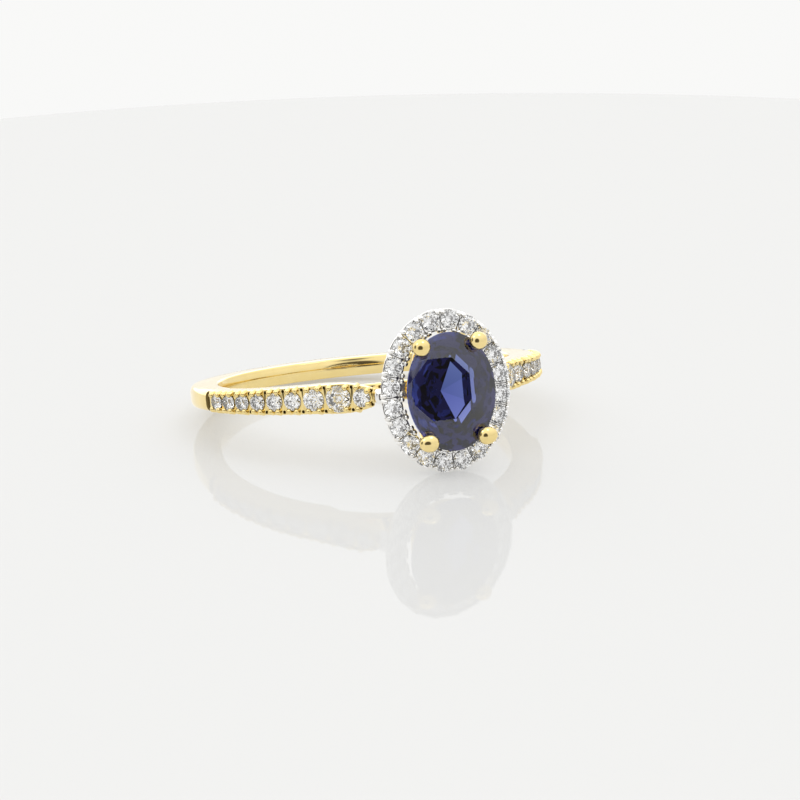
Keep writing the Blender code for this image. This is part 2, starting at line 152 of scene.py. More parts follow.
# Oval sapphire above and below its girdle plane: the table leans a little to the left
SAPPHIRE_HEIGHT = 12.84 * MM
SAPPHIRE_GIRDLE = (2.59 * MM, 3.25 * MM, 0.07 * MM)  # half width, half length, half edge
SAPPHIRE_TABLE = (-0.75 * MM, 1.55 * MM, 1.68 * MM, 0.55 * MM)  # centre, half sizes, height
SAPPHIRE_TABLE_RISE = 0.25 * MM
SAPPHIRE_TABLE_SLOPE = 0.19
SAPPHIRE_CROWN_SHARE = 0.45
SAPPHIRE_CROWN_BULGE = 0.06 * MM
SAPPHIRE_NOTCH = 0.004  # share by which the basket's cut is larger than the stone
SAPPHIRE_TIERS = [  # centre across, half width, half length, depth (mm), corners, first corner
    (0.0, 2.20, 2.72, -0.70, 16, 0.5),
    (-0.05, 1.46, 1.72, -1.53, 8, 0.5),
]
SAPPHIRE_CULET = (0.02 * MM, -2.25 * MM)  # across, depth
SAPPHIRE_SIDES = 64
TABLE_SIDES = 8

# The sapphire's lower facets seen from inside: a facet's normal picks mirror or fan
MIRROR_FACING = -0.3
FAN_FACING = -0.85
FAN_SIDE = -0.1
FAN_WIDTH = 1.12 * MM
FAN_SLANT = 1.2
FAN_MIDDLE = 0.5
# Painted light: the fan glows by emission, from a shaded tone to a lit one
FAN_GLOW = (0.9, 0.95, 1.38)
FAN_SHADE = (0.55, 0.68, 0.88)
MIRROR_TINT = (0.56, 0.56, 0.70)
FLECK_SCALE = 2.6 / MM
FLECK_SHARE = 0.4
# Painted light: the dim blue glow of the flecks, as emission
FLECK_PAINTED_GLOW = (0.036, 0.033, 0.110)

# Brilliant cut and its seat, as shares of the girdle radius
TABLE_SHARE = 0.57
HALF_GIRDLE = 0.03
CROWN_SLOPE = math.tan(math.radians(34.5))
PAVILION_SLOPE = math.tan(math.radians(40.8))
SEAT_HOLE = 0.25
SEAT_GAP = 0.02 * MM
SEAT_SIDES = 32

# Finishes: the two tones that each metal and stone drifts between, and how they shine
YELLOW_GOLD = ((0.88, 0.71, 0.34), (0.84, 0.66, 0.28))
WHITE_GOLD = ((0.83, 0.82, 0.80), (0.88, 0.87, 0.85))
# Painted shade: dark copies of both golds for the notches and cuts, where shade falls
PAINTED_SHADE_YELLOW_GOLD = ((0.30, 0.23, 0.09), (0.24, 0.18, 0.07))  # in the notches and cuts
PAINTED_SHADE_WHITE_GOLD = ((0.34, 0.31, 0.27), (0.28, 0.25, 0.21))
POLISHED = 0.07
UNPOLISHED = 0.4
METAL_CLOUDS = 900.0
METAL_LINES = (5000.0, (1.0, 1.0, 0.15), 3.0)  # scale, stretch, detail
METAL_GRAIN = (3500.0, (1.0, 1.0, 0.2), 2.0)
GRAIN_STRENGTH = 0.05
GRAIN_DEPTH = 0.01 * MM
DIAMOND = ((1, 1, 1), (0.97, 0.98, 0.99))
DIAMOND_IOR = 2.417
# Painted light: a faint white glow of the diamonds, as emission
DIAMOND_PAINTED_GLOW = 0.006
SAPPHIRE = ((0.58, 0.62, 0.88), (0.66, 0.68, 0.92))
SAPPHIRE_IOR = 1.77
SAPPHIRE_DEEP = (0.13, 0.20, 0.50)
SAPPHIRE_DENSITY = 750.0
GEM_CLOUDS = 400.0

# Camera, from the finger hole's centre: azimuth and elevation in degrees
CAMERA_AZIMUTH = -21.27
CAMERA_ELEVATION = 5.45
CAMERA_ROLL = math.radians(-5.42)
CAMERA_DISTANCE = 177.4 * MM
CAMERA_LENS = 137.15
CAMERA_SHIFT = (0.0449, -0.0266)

# Floor: a round table under the ring, placed from the shank's back edge
FLOOR_RADIUS = 91 * MM
FLOOR_CENTRE = (10.4 * MM, 11.2 * MM)
FLOOR_THICKNESS = 6 * MM
FLOOR_EDGE = 0.6 * MM
FLOOR_DROP = 0.02 * MM
FLOOR_HUB = 0.1 * MM
FLOOR_SIDES = 256

# Floor finish: diffuse share, its own light as seen and as it lights the ring, mirror share
FLOOR_DIFFUSE = 0.34
FLOOR_LIGHT = 0.375
FLOOR_GLOW = 0.54
FLOOR_MIRROR = 0.068
FLOOR_TINT = (1.0, 1.0, 0.985)
FLOOR_CLOUDS = 300.0
FLOOR_ROUGHNESS = (0.005, 0.02)

# Studio sky: the colour the camera sees, its brightness in reflections up to the horizon and
# overhead, then round patches: azimuth, elevation, inner and outer radius in degrees, colour
SKY_SEEN = (0.945, 0.945, 0.935)
SKY_LOW = 0.95
SKY_HIGH = 1.42
SKY_HIGH_TINT = (1.0, 1.0, 0.98)
SKY_PATCHES = [
    (170, 12, 25, 50, (2.1, 2.1, 2.08)),
    (-80, 15, 12, 22, (0.15, 0.14, 0.12)),
    (-14, 0, 19, 27, (0.10, 0.09, 0.08)),
    (-60, 50, 6, 10, (4.0, 4.0, 4.0)),
    (35, 55, 6, 10, (4.0, 4.0, 4.0)),
]

_, SHANK_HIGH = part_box("shank")
AXIS_Y = SHANK_HIGH.y - BAND_RADIUS
UPWARD = Vector((0, 0, 1))
SIDES = {"left": -1, "right": 1}
SHOULDER_STONES = 9


# Places

def at_height(x, height, z=0.0):
    """The point at a height above the finger hole's axis, towards the head."""
    return Vector((x, AXIS_Y - height, z))


def on_circle(angle, radius, z=0.0):
    """The point at an angle from the head, positive towards +X."""
    return at_height(radius * math.sin(angle), radius * math.cos(angle), z)


def turns(count):
    """Evenly spaced angles around a full circle."""
    return [2 * math.pi * step / count for step in range(count)]


def smooth_step(value, low, high):
    """0 below low, 1 above high and an eased share between."""
    share = min(1.0, max(0.0, (value - low) / (high - low)))
    return share * share * (3 - 2 * share)


def frame_at(point, outward, across):
    """A matrix whose Z points outward and whose Y runs across."""
    outward = outward.normalized()
    side = across.cross(outward).normalized()
    turn = Matrix((side, outward.cross(side), outward)).transposed()
    return Matrix.Translation(point) @ turn.to_4x4()


def stone_place(node):
    """Girdle radius, girdle centre and outward axis of a round CAD stone."""
    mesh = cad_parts[node].data
    areas = {}
    for face in mesh.polygons:
        key = tuple(round(value, 2) for value in face.normal)
        area, _ = areas.get(key, (0.0, None))
        areas[key] = (area + face.area, face.normal.copy())
    outward = max(areas.values(), key=lambda entry: entry[0])[1]
    heights = [outward.dot(vertex.co) for vertex in mesh.vertices]
    lowest = min(heights)
    culet = mesh.vertices[heights.index(lowest)].co
    depth = max(heights) - lowest
    radius = depth / (PAVILION_SLOPE + 2 * HALF_GIRDLE + (1 - TABLE_SHARE) * CROWN_SLOPE)
    centre = culet + outward * radius * (PAVILION_SLOPE + HALF_GIRDLE)
    return radius, centre, outward


# Mesh tools

def new_object(name, mesh, material=None):
    """A mesh object in the scene."""
    thing = bpy.data.objects.new(name, mesh)
    bpy.context.scene.collection.objects.link(thing)
    if material:
        mesh.materials.append(material)
    return thing


def mesh_from(name, body):
    """Turn a bmesh into a mesh whose faces point out."""
    bmesh.ops.recalc_face_normals(body, faces=body.faces)
    mesh = bpy.data.meshes.new(name)
    body.to_mesh(mesh)
    body.free()
    return mesh


def add_loft(body, rings, closed):
    """Skin a row of equal closed outlines into a bmesh, joined end to end or capped."""
    loops = [[body.verts.new(point) for point in ring] for ring in rings]
    pairs = list(zip(loops, loops[1:]))
    if closed:
        pairs.append((loops[-1], loops[0]))
    else:
        body.faces.new(loops[0])
        body.faces.new(loops[-1])
    for near, far in pairs:
        for index in range(len(near)):
            after = (index + 1) % len(near)
            body.faces.new((near[index], near[after], far[after], far[index]))


def loft(name, rings, closed=False):
    """A mesh skinned over a row of outlines."""
    body = bmesh.new()
    add_loft(body, rings, closed)
    return mesh_from(name, body)


def add_turned(body, profile, sides, place):
    """A turned solid from (radius, height) steps, top to bottom, added at a matrix."""
    rings = []
    for radius, height in profile:
        ring = [(radius * math.cos(turn), radius * math.sin(turn), height) for turn in turns(sides)]
        rings.append([place @ Vector(point) for point in ring])
    add_loft(body, rings, closed=False)


def boolean(thing, guide, operation):
    """Apply one exact Boolean and remove its guide."""
    modifier = thing.modifiers.new(operation, "BOOLEAN")
    modifier.operation = operation
    modifier.solver = "EXACT"
    modifier.object = guide
    modifier.material_mode = "TRANSFER"
    apply_modifiers(thing)
    bpy.data.objects.remove(guide)


def apply_modifiers(thing):
    """Replace an object's mesh by its evaluated mesh."""
    bpy.context.view_layer.update()
    evaluated = thing.evaluated_get(bpy.context.evaluated_depsgraph_get())
    mesh = bpy.data.meshes.new_from_object(evaluated)
    thing.modifiers.clear()
    thing.data = mesh


def soften(thing, width):
    """Round the sharp edges a little, so that they catch the light."""
    modifier = thing.modifiers.new("bevel", "BEVEL")
    modifier.width = width
    modifier.segments = 2
    modifier.limit_method = "ANGLE"
    modifier.angle_limit = math.radians(35)
    modifier.use_clamp_overlap = True
    apply_modifiers(thing)


def shade(thing, sharp=30.0):
    """Smooth shading that keeps edges sharp above an angle in degrees."""
    thing.data.shade_smooth()
    thing.data.set_sharp_from_angle(angle=math.radians(sharp))


def finish_piece(thing, slot, *nodes):
    """Attach a finished piece to the ring's body and hide the CAD nodes it replaces."""
    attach(thing, BODY)
    if nodes:
        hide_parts(*nodes)


# Materials

def new_material(name):
    """An empty node material and its tree."""
    material = bpy.data.materials.new(name)
    material.use_nodes = True
    return material, material.node_tree.nodes, material.node_tree.links


def noise_at(nodes, links, scale, stretch=(1, 1, 1), detail=4.0):
    """Noise in object space, in features per metre."""
    place = nodes.new("ShaderNodeTexCoord")
    mapping = nodes.new("ShaderNodeMapping")
    mapping.inputs["Scale"].default_value = stretch
    noise = nodes.new("ShaderNodeTexNoise")
    noise.inputs["Scale"].default_value = scale
    noise.inputs["Detail"].default_value = detail
    links.new(place.outputs["Object"], mapping.inputs["Vector"])
    links.new(mapping.outputs["Vector"], noise.inputs["Vector"])
    return noise.outputs["Fac"]


def plug(links, value, socket):
    """Feed a socket with a number or from another socket."""
    if isinstance(value, (int, float)):
        socket.default_value = value
    else:
        links.new(value, socket)


def maths(nodes, links, operation, *values):
    """One maths node on numbers and sockets."""
    node = nodes.new("ShaderNodeMath")
    node.operation = operation
    for value, socket in zip(values, node.inputs):
        plug(links, value, socket)
    return node.outputs["Value"]


def mix_shaders(nodes, links, share, first, second):
    """A share of the second shader over the first."""
    node = nodes.new("ShaderNodeMixShader")
    plug(links, share, node.inputs["Fac"])
    links.new(first, node.inputs[1])
    links.new(second, node.inputs[2])
    return node.outputs["Shader"]


def mix_colours(nodes, links, share, first, second):
    """A colour that goes from the first to the second as the share grows."""
    node = nodes.new("ShaderNodeMix")
    node.data_type = "RGBA"
    node.inputs["A"].default_value = (*first, 1)
    node.inputs["B"].default_value = (*second, 1)
    links.new(share, node.inputs["Factor"])
    return node.outputs["Result"]


def ranged(nodes, links, value, low, high):
    """Spread the middle of a noise value over a range."""
    node = nodes.new("ShaderNodeMapRange")
    node.inputs["From Min"].default_value = 0.3
    node.inputs["From Max"].default_value = 0.7
    node.inputs["To Min"].default_value = low
    node.inputs["To Max"].default_value = high
    links.new(value, node.inputs["Value"])
    return node.outputs["Result"]


def clouded(nodes, links, scale, tones):
    """A colour that drifts between two tones."""
    first, second = tones
    share = ranged(nodes, links, noise_at(nodes, links, scale), 0.0, 1.0)
    return mix_colours(nodes, links, share, first, second)


def metal(name, tones, roughness):
    """Precious metal: soft tone shifts, fine polishing lines and a little grain."""
    material, nodes, links = new_material(name)
    shader = nodes["Principled BSDF"]
    shader.inputs["Metallic"].default_value = 1.0
    links.new(clouded(nodes, links, METAL_CLOUDS, tones), shader.inputs["Base Color"])
    lines = noise_at(nodes, links, *METAL_LINES)
    links.new(ranged(nodes, links, lines, roughness * 0.6, roughness * 1.6), shader.inputs["Roughness"])
    bump = nodes.new("ShaderNodeBump")
    bump.inputs["Strength"].default_value = GRAIN_STRENGTH
    bump.inputs["Distance"].default_value = GRAIN_DEPTH
    links.new(noise_at(nodes, links, *METAL_GRAIN), bump.inputs["Height"])
    links.new(bump.outputs["Normal"], shader.inputs["Normal"])
    return material


def gem(name, tones, ior, painted_glow):
    """A clear polished stone with faint growth clouds in its colour, and a faint painted glow of emission
    in place of scattered light.
    """
    material, nodes, links = new_material(name)
    shader = nodes["Principled BSDF"]
    shader.inputs["Transmission Weight"].default_value = 1.0
    shader.inputs["IOR"].default_value = ior
    shader.inputs["Roughness"].default_value = 0.0
    links.new(clouded(nodes, links, GEM_CLOUDS, tones), shader.inputs["Base Color"])
    shader.inputs["Emission Color"].default_value = (1, 1, 1, 1)
    # painted light: a faint white emission, lit by no lamp
    shader.inputs["Emission Strength"].default_value = painted_glow
    return material


def deepen(material, colour, density):
    """Give a stone depth of colour: light fades the further it goes inside."""
    nodes, links = material.node_tree.nodes, material.node_tree.links
    inside = nodes.new("ShaderNodeVolumeAbsorption")
    inside.inputs["Color"].default_value = (*colour, 1)
    inside.inputs["Density"].default_value = density
    links.new(inside.outputs["Volume"], nodes["Material Output"].inputs["Volume"])


def mirror_pavilion(material):
    """Seen from inside, the lower facets mirror, and the fan to the right of the culet glows with painted
    light, an emission.
    """
    nodes, links = material.node_tree.nodes, material.node_tree.links
    geometry = nodes.new("ShaderNodeNewGeometry")
    facing = nodes.new("ShaderNodeSeparateXYZ")
    links.new(geometry.outputs["True Normal"], facing.inputs["Vector"])
    place = nodes.new("ShaderNodeTexCoord").outputs["Object"]
    spot = nodes.new("ShaderNodeSeparateXYZ")
    links.new(place, spot.inputs["Vector"])
    inside = geometry.outputs["Backfacing"]
    lower = both(nodes, links, below(nodes, links, facing.outputs["Y"], MIRROR_FACING), inside)
    shallow = below(nodes, links, facing.outputs["Y"], FAN_FACING)
    fan = both(nodes, links, below(nodes, links, facing.outputs["X"], FAN_SIDE), shallow)
    fan = both(nodes, links, fan, inside)
    fan = both(nodes, links, fan, below(nodes, links, spot.outputs["X"], FAN_WIDTH))
    facet = mirror_with_glowing_flecks(nodes, links, place)
    # painted light: the fan's glow is an emission
    light = fan_light(nodes, links, facing.outputs["Z"])
    body = mix_shaders(nodes, links, lower, nodes["Principled BSDF"].outputs["BSDF"], facet)
    body = mix_shaders(nodes, links, fan, body, light)
    links.new(body, nodes["Material Output"].inputs["Surface"])


def below(nodes, links, value, limit):
    """1 where a value is below a limit, else 0."""
    return maths(nodes, links, "LESS_THAN", value, limit)


def both(nodes, links, first, second):
    """1 where both masks are 1."""
    return maths(nodes, links, "MULTIPLY", first, second)


def mirror_with_glowing_flecks(nodes, links, place):
    """A tinted mirror broken by flecks of painted light: cells that glow dim blue by emission instead of
    mirroring.
    """
    mirror = nodes.new("ShaderNodeBsdfGlossy")
    mirror.inputs["Color"].default_value = (*MIRROR_TINT, 1)
    mirror.inputs["Roughness"].default_value = 0.0
    flecks = nodes.new("ShaderNodeTexVoronoi")
    flecks.inputs["Scale"].default_value = FLECK_SCALE
    links.new(place, flecks.inputs["Vector"])
    cell = nodes.new("ShaderNodeSeparateColor")
    links.new(flecks.outputs["Color"], cell.inputs["Color"])
    # painted light: the flecks glow by emission where the mirror would reflect
    flash = nodes.new("ShaderNodeEmission")
    flash.inputs["Color"].default_value = (*FLECK_PAINTED_GLOW, 1)
    lit = below(nodes, links, cell.outputs["Red"], FLECK_SHARE)
    return mix_shaders(nodes, links, lit, mirror.outputs["BSDF"], flash.outputs["Emission"])


def fan_light(nodes, links, slope):
    """The fan's painted glow, an emission between two tones by how far a facet slopes up or down."""
    share = maths(nodes, links, "MULTIPLY_ADD", slope, FAN_SLANT, FAN_MIDDLE)
    light = nodes.new("ShaderNodeEmission")
    links.new(mix_colours(nodes, links, share, FAN_SHADE, FAN_GLOW), light.inputs["Color"])
    return light.outputs["Emission"]


def floor_finish():
    """A glossy near-white sheet, softly lit from below, with a faint mirror image."""
    material, nodes, links = new_material("floor_finish")
    sheet = nodes["Principled BSDF"]
    sheet.inputs["Base Color"].default_value = (FLOOR_DIFFUSE, FLOOR_DIFFUSE, FLOOR_DIFFUSE, 1)
    sheet.inputs["Specular IOR Level"].default_value = 0.0
    sheet.inputs["Emission Color"].default_value = (*FLOOR_TINT, 1)
    path = nodes.new("ShaderNodeLightPath")
    glow = nodes.new("ShaderNodeMapRange")
    glow.inputs["To Min"].default_value = FLOOR_GLOW
    glow.inputs["To Max"].default_value = FLOOR_LIGHT
    links.new(path.outputs["Is Camera Ray"], glow.inputs["Value"])
    links.new(glow.outputs["Result"], sheet.inputs["Emission Strength"])
    mirror = nodes.new("ShaderNodeBsdfGlossy")
    haze = ranged(nodes, links, noise_at(nodes, links, FLOOR_CLOUDS), *FLOOR_ROUGHNESS)
    links.new(haze, mirror.inputs["Roughness"])
    coated = mix_shaders(nodes, links, FLOOR_MIRROR, sheet.outputs["BSDF"], mirror.outputs["BSDF"])
    links.new(coated, nodes["Material Output"].inputs["Surface"])
    return material


# Shank

def shoulder_radius(angle):
    """Outer radius of the shank: it sweeps up towards the halo."""
    rise = max(0.0, (RISE_ANGLE - angle) / (RISE_ANGLE - TIP_ANGLE))
    return BAND_RADIUS + SHOULDER_RISE * rise ** RISE_POWER


def shank_width(angle):
    """Width of the shank at an angle from the head."""
    if angle >= SET_END_ANGLE:
        return BAND_WIDTH
    if angle >= WIDEST_ANGLE:
        share = (SET_END_ANGLE - angle) / (SET_END_ANGLE - WIDEST_ANGLE)
        return BAND_WIDTH + (SHOULDER_WIDTH - BAND_WIDTH) * share
    share = min(1.0, (WIDEST_ANGLE - angle) / (WIDEST_ANGLE - TIP_ANGLE))
    return SHOULDER_WIDTH + (TIP_WIDTH - SHOULDER_WIDTH) * share ** 2


def arm_inner_radius(angle):
    """Inner radius of a shoulder arm: the finger hole, then the top of the fork."""
    tip = shoulder_radius(TIP_ANGLE) - TIP_THICKNESS
    share = (FORK_ANGLE - angle) / (FORK_ANGLE - TIP_ANGLE)
    return max(HOLE_RADIUS, FORK_RADIUS + (tip - FORK_RADIUS) * share)


def section(angle, inner, outer, half, inner_round, outer_round, crown, dome=0.0):
    """A rounded section of the shank, as points around it.

    Inside, a shallow dome runs between small rounds. Outside, each edge is a quarter oval,
    outer_round along the radius and crown across the width.
    """
    corners = [
        (inner + dome + inner_round, half - inner_round, inner_round, inner_round, 180),
        (outer - outer_round, half - crown, outer_round, crown, 90),
        (outer - outer_round, crown - half, outer_round, crown, 0),
        (inner + dome + inner_round, inner_round - half, inner_round, inner_round, 270),
    ]
    points = []
    width = half - inner_round
    for step in range(1, 8):
        z = width * (step - 4) / 4
        points.append(on_circle(angle, inner + dome * (z / width) ** 2, z))
    for radius, z, along, across, start in corners:
        for step in range(7):
            turn = math.radians(start - 15 * step)
            points.append(on_circle(angle, radius + along * math.cos(turn), z + across * math.sin(turn)))
    return points


def arm_section(angle):
    """The band's section at an angle: a flat-sided arch behind, a flat bed under the stones."""
    here = min(angle, 2 * math.pi - angle)
    plain = smooth_step(here, SET_END_ANGLE - PLAIN_EASE, SET_END_ANGLE + PLAIN_EASE)
    half = shank_width(here) / 2
    outer = shoulder_radius(here) - BED_DROP * (1 - plain)
    outer_round = BED_ROUND + (BAND_ROUND - BED_ROUND) * plain
    crown = BED_ROUND + (BAND_CROWN - BED_ROUND) * plain
    return section(angle, arm_inner_radius(here), outer, half, INNER_ROUND, outer_round, crown, INNER_DOME)


def arm_rings():
    """Sections from one shoulder tip around the back to the other."""
    fine = [SET_END_ANGLE + math.radians(step) for step in FINE_STEPS]
    sweep = 2 * math.pi - 2 * TIP_ANGLE
    angles = [TIP_ANGLE + sweep * step / ARM_STEPS for step in range(ARM_STEPS + 1)]
    angles += fine + [2 * math.pi - angle for angle in fine]
    return [arm_section(angle) for angle in sorted(angles)]


def tip_dome(ring, direction, steps=4):
    """Rings that close a shoulder tip with a rounded end."""
    centre = sum(ring, Vector()) / len(ring)
    rings = []
    for step in range(1, steps + 1):
        turn = math.radians(90) * step / steps
        shrink = 1 - TIP_SHRINK * (1 - math.cos(turn))
        shift = direction * TIP_DOME * math.sin(turn)
        rings.append([centre + (point - centre) * shrink + shift for point in ring])
    return rings


def bridge_mesh(steps=80):
    """The thin arch that carries the finger hole under the head."""
    half = BAND_WIDTH / 2 - BRIDGE_INSET
    rings = []
    for step in range(steps + 1):
        angle = -BRIDGE_REACH + 2 * BRIDGE_REACH * step / steps
        rings.append(section(angle, HOLE_RADIUS + BRIDGE_GAP, BRIDGE_RADIUS, half,
                             INNER_ROUND, INNER_ROUND, INNER_ROUND))
    return loft("bridge", rings)


def shoulder_stones(side):
    """Radius, centre and outward axis of each stone of one shoulder, from the head outwards."""
    indices = range(1, SHOULDER_STONES + 1)
    return [stone_place(f"{side}_shoulder_diamond_{index:02d}") for index in indices]


def build_shank(gold, recess_shade):
    """The gold shank: arched band, forked shoulders, stone seats and small claws."""
    rings = arm_rings()
    first = tip_dome(rings[0], Vector((-math.cos(TIP_ANGLE), -math.sin(TIP_ANGLE), 0)))
    last = tip_dome(rings[-1], Vector((math.cos(TIP_ANGLE), -math.sin(TIP_ANGLE), 0)))
    shank = new_object("gold_shank", loft("gold_shank", first[::-1] + rings + last), gold)
    boolean(shank, new_object("bridge", bridge_mesh()), "UNION")
    seats = bmesh.new()
    drills = bmesh.new()
    claws = bmesh.new()
    for side, sign in SIDES.items():
        stones = shoulder_stones(side)
        for radius, centre, outward in stones:
            add_seat(seats, radius, frame_at(centre, outward, UPWARD))
        add_shoulder_claws(claws, drills, stones)
        add_groove(drills, sign)
    boolean(shank, new_object("seats", mesh_from("seats", seats)), "DIFFERENCE")
    # The drilled notches and grooves take the dark gold: painted shade.
    boolean(shank, new_object("drills", mesh_from("drills", drills), recess_shade), "DIFFERENCE")
    soften(shank, SHANK_EDGE)
    shade(shank)
    finish_piece(shank, "yellow_gold", "shank")
    small = new_object("shoulder_claws", mesh_from("shoulder_claws", claws), gold)
    shade(small, ROUND_SHARP)
    finish_piece(small, "yellow_gold")


def add_seat(body, radius, place):
    """The hollow under and around one round stone."""
    crown = radius * (HALF_GIRDLE + (1 - TABLE_SHARE) * CROWN_SLOPE)
    profile = [
        (radius + SEAT_GAP, crown + radius),
        (radius + SEAT_GAP, -HALF_GIRDLE * radius - SEAT_GAP),
        (SEAT_HOLE * radius, (SEAT_HOLE - 1) * PAVILION_SLOPE * radius - SEAT_GAP),
        (SEAT_HOLE * radius, -PAVILION_SLOPE * radius - SEAT_GAP),
    ]
    add_turned(body, profile, SEAT_SIDES, place)


def add_groove(body, side):
    """The cut across the band where its row of stones ends."""
    angle = side * GROOVE_ANGLE
    outer = BAND_RADIUS + GROOVE_ABOVE
    inner = BAND_RADIUS - GROOVE_DEPTH
    narrow = GROOVE_HALF * GROOVE_TAPER
    rings = []
    for end in (-1, 1):
        z = end * BAND_WIDTH
        rings.append([on_circle(angle - GROOVE_HALF, outer, z), on_circle(angle + GROOVE_HALF, outer, z),
                      on_circle(angle + narrow, inner, z), on_circle(angle - narrow, inner, z)])
    add_loft(body, rings, closed=False)


def add_claw(body, point, outward, across, radius, proud):
    """A small round-topped claw, standing on a point."""
    profile = []
    for step in range(7):
        turn = math.radians(90 - 15 * step)
        width = max(radius * math.cos(turn), radius * CLAW_CROWN_SHARE)
        profile.append((width, proud - radius + radius * math.sin(turn)))
    profile.append((radius * CLAW_FOOT_SHARE, -CLAW_ROOT))
    add_turned(body, profile, CLAW_SIDES, frame_at(point, outward, across))


def add_shoulder_claws(claws, drills, stones):
    """Paired claws at both edges of every gap of one shoulder, and a drilled notch between each pair."""
    gaps = [end_gap(stones[0], stones[1])]
    gaps += [middle_gap(near, far) for near, far in zip(stones, stones[1:])]
    gaps.append(end_gap(stones[-1], stones[-2]))
    for point, outward, neighbours in gaps:
        rise = point - at_height(0, 0)
        edge = shank_width(math.atan2(abs(rise.x), -rise.y)) / 2
        for end in (-1, 1):
            level = end * (edge - SHOULDER_CLAW_EDGE)
            for radius, centre, _ in neighbours:
                add_shoulder_claw(claws, point, outward, level, radius, centre)
            hole = frame_at(point + UPWARD * end * (edge - NOTCH_EDGE), outward, UPWARD)
            add_turned(drills, NOTCH_PROFILE, CLAW_SIDES, hole)


def add_shoulder_claw(claws, point, outward, level, radius, centre):
    """One claw beside a gap, just over the rim of a stone and leaning towards its middle."""
    along = centre - point
    inside = max(0.0, radius ** 2 - level ** 2)
    reach = along.length - math.sqrt(inside) - SHOULDER_CLAW_BITE
    nearest, farthest = SHOULDER_CLAW_REACH
    reach = min(max(reach, nearest), farthest)
    spot = point + along.normalized() * reach + UPWARD * level
    lean = (centre - spot).normalized() * SHOULDER_CLAW_LEAN
    add_claw(claws, spot, outward + lean, UPWARD, SHOULDER_CLAW, SHOULDER_CLAW_PROUD)


def middle_gap(near, far):
    """Middle of the gap between two stones: point, outward direction and both stones."""
    (near_radius, near_centre, near_out), (far_radius, far_centre, far_out) = near, far
    along = (far_centre - near_centre).normalized()
    start = near_centre + along * near_radius
    end = far_centre - along * far_radius
    return (start + end) / 2, (near_out + far_out).normalized(), (near, far)


def end_gap(stone, inner):
    """The place just beyond the last stone of a row."""
    radius, centre, outward = stone
    away = (centre - inner[1]).normalized()
    away = (away - outward * away.dot(outward)).normalized()
    return centre + away * (radius + END_GAP), outward, (stone,)


# Halo and gallery

def oval(half_width, half_length, height, count):
    """Points around an upright oval at one height, starting at +X."""
    return [at_height(half_width * math.cos(turn), height, half_length * math.sin(turn))
            for turn in turns(count)]


def oval_band(name, profile, scallop=None):
    """A closed oval band whose section is (offset from the stone centres, height) corners."""
    rings = []
    for offset, height in profile:
        ring = oval(HALO_HALF_WIDTH + offset, HALO_HALF_LENGTH + offset, height, OVAL_STEPS)
        rings.append([scallop(point, offset) for point in ring] if scallop else ring)
    return loft(name, rings, closed=True)


def rounded_profile(corners, radius, steps=4):
    """Round the corners of a section outline."""
    profile = []
    count = len(corners)
    for index, corner in enumerate(corners):
        corner = Vector(corner)
        before = (Vector(corners[index - 1]) - corner).normalized() * radius
        after = (Vector(corners[(index + 1) % count]) - corner).normalized() * radius
        for step in range(steps + 1):
            share = step / steps
            profile.append(tuple(corner + before * (1 - share) ** 2 + after * share ** 2))
    return profile


def halo_outward(point):
    """The direction away from the halo's middle, square to its oval."""
    return Vector((point.x / HALO_HALF_WIDTH ** 2, 0, point.z / HALO_HALF_LENGTH ** 2)).normalized()


def halo_scallop(stones):
    """A function that draws the halo's outline in a little between the stones."""
    def scallop(point, offset):
        nearest = min(math.hypot(point.x - centre.x, point.z - centre.z) for _, centre, _ in stones)
        depth = HALO_SCALLOP * smooth_step(nearest, HALO_RIM, HALO_RIM + HALO_SCALLOP_SPAN)
        return point - halo_outward(point) * math.copysign(depth, offset)
    return scallop


def build_halo(white, recess_shade):
    """The white gold oval with its seats, cuts between stones and paired claws."""
    back = HALO_RIM - HALO_BACK_INSET
    corners = [(HALO_RIM, HALO_TOP), (back, HALO_BACK), (-back, HALO_BACK), (-HALO_LEDGE, HALO_TOP)]
    stones = [stone_place(f"halo_diamond_{index:02d}") for index in range(1, HALO_STONES + 1)]
    band = oval_band("white_halo", rounded_profile(corners, HALO_ROUND), halo_scallop(stones))
    halo = new_object("white_halo", band, white)
    seats = bmesh.new()
    cuts = bmesh.new()
    claws = bmesh.new()
    for index, (radius, centre, outward) in enumerate(stones):
        add_seat(seats, radius, frame_at(centre, outward, halo_outward(centre)))
        _, after, _ = stones[(index + 1) % HALO_STONES]
        middle = (centre + after) / 2
        away = halo_outward(middle)
        add_wedge(cuts, middle, outward, away)
        add_halo_claws(claws, middle, outward, away, (centre, after))
    boolean(halo, new_object("seats", mesh_from("seats", seats)), "DIFFERENCE")
    # The cuts between stones take the dark white gold: painted shade.
    boolean(halo, new_object("cuts", mesh_from("cuts", cuts), recess_shade), "DIFFERENCE")
    soften(halo, HALO_EDGE)
    shade(halo)
    finish_piece(halo, "white_gold", "halo_frame")
    small = new_object("halo_claws", mesh_from("halo_claws", claws), white)
    shade(small, ROUND_SHARP)
    finish_piece(small, "white_gold")


def add_halo_claws(body, middle, outward, away, neighbours):
    """Two pairs of claws between two halo stones, at the halo's outer and inner edges."""
    for offset, size in HALO_CLAWS:
        for neighbour in neighbours:
            along = (neighbour - middle).normalized() * HALO_CLAW_SPREAD
            spot = middle + away * offset + along
            lean = (neighbour - spot).normalized() * HALO_CLAW_LEAN
            add_claw(body, spot, outward + lean, away, size, HALO_CLAW_PROUD)


def add_wedge(body, middle, outward, away):
    """A V-shaped cut straight across the halo between two stones."""
    side = outward.cross(away).normalized() * CUT_HALF_WIDTH * 2
    top = middle + outward * CUT_RISE
    rings = []
    for reach in CUT_REACH:
        start = top + away * reach
        rings.append([start + side, start - side, start - outward * (CUT_DEPTH + CUT_RISE)])
    add_loft(body, rings, closed=False)


